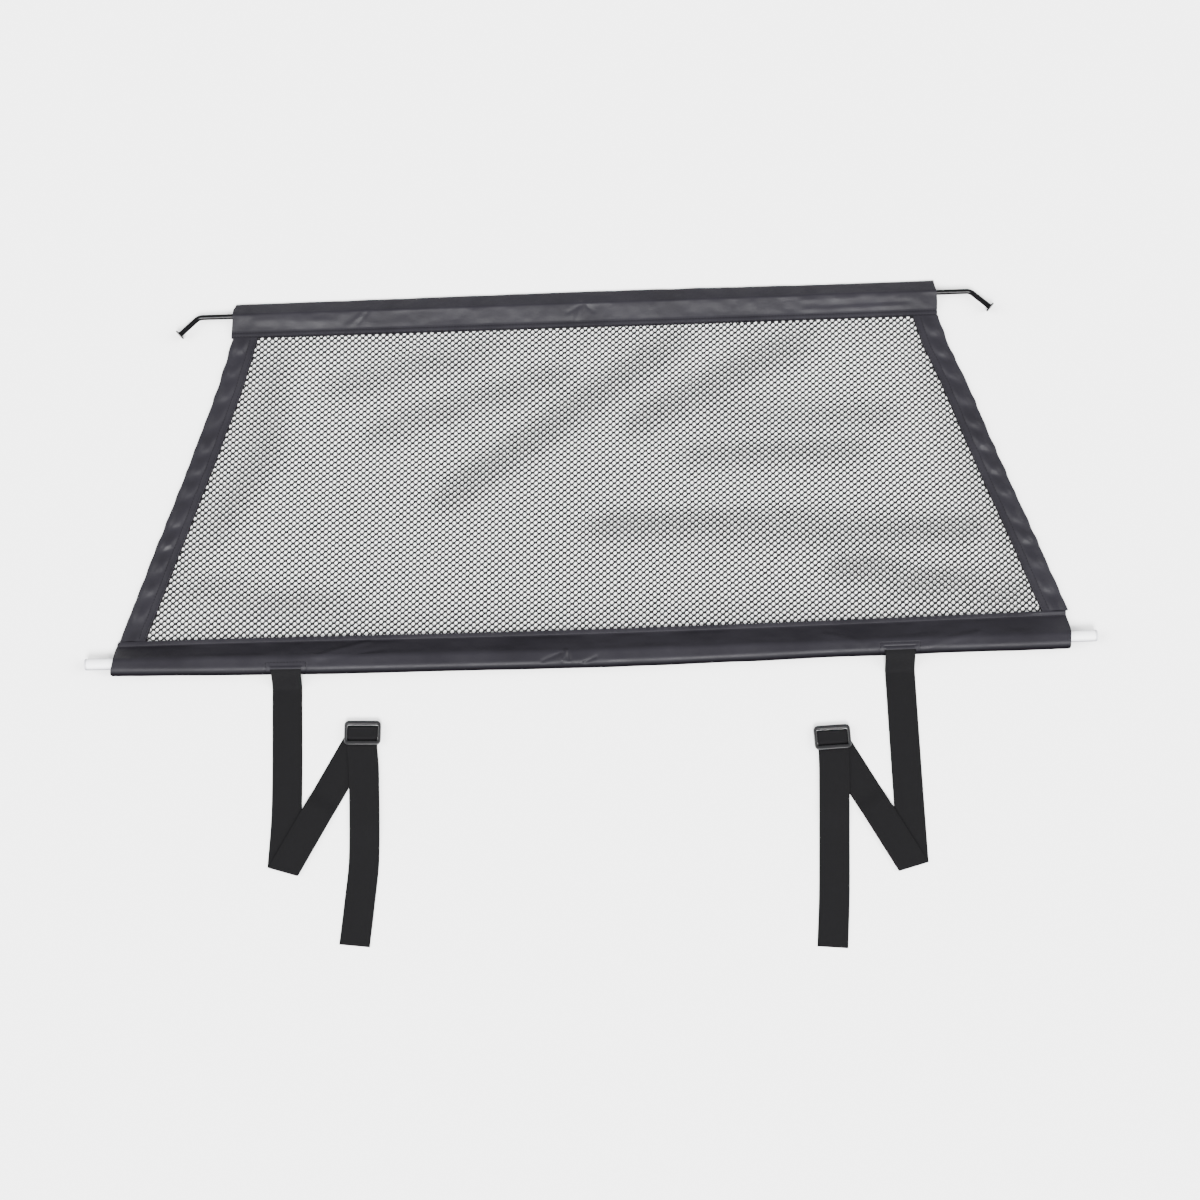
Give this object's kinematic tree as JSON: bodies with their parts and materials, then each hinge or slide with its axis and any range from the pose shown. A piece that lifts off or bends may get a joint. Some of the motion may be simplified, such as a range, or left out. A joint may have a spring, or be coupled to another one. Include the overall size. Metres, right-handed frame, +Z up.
{
  "type": "car dog barrier net with top rod and bottom tube",
  "caption": "Black net panel bound in artificial leather, with a bent top rod, a bottom tube and webbing straps with adjusters, laid flat.",
  "frame": {"origin": "under the middle of the whole part, on the surface that it lies on", "axes": "+X along the rods to the right; +Y from the bottom tube to the top rod; +Z up out of the surface"},
  "size_m": [1.305, 0.8845, 0.0193],
  "materials": {
    "net": "matt black knitted polyester net",
    "leather": "soft satin black artificial leather",
    "webbing": "matt black ribbed webbing",
    "black_steel": "gloss black painted steel",
    "pale_metal": "bright smooth tube",
    "pale_plastic": "pale smooth end plug",
    "black_plastic": "black moulded plastic"
  },
  "bodies": {
    "root": {"net_panel": "net", "header_sleeve": "leather", "bottom_sleeve": "leather", "binding_left": "leather", "binding_right": "leather", "top_rod": "black_steel", "rod_disc_left": "black_steel", "rod_disc_right": "black_steel", "bottom_tube": "pale_metal", "tube_plug_left": "pale_plastic", "tube_plug_right": "pale_plastic", "strap_left": "webbing", "strap_right": "webbing", "buckle_left": "black_plastic", "buckle_right": "black_plastic"}
  },
  "joints": []
}
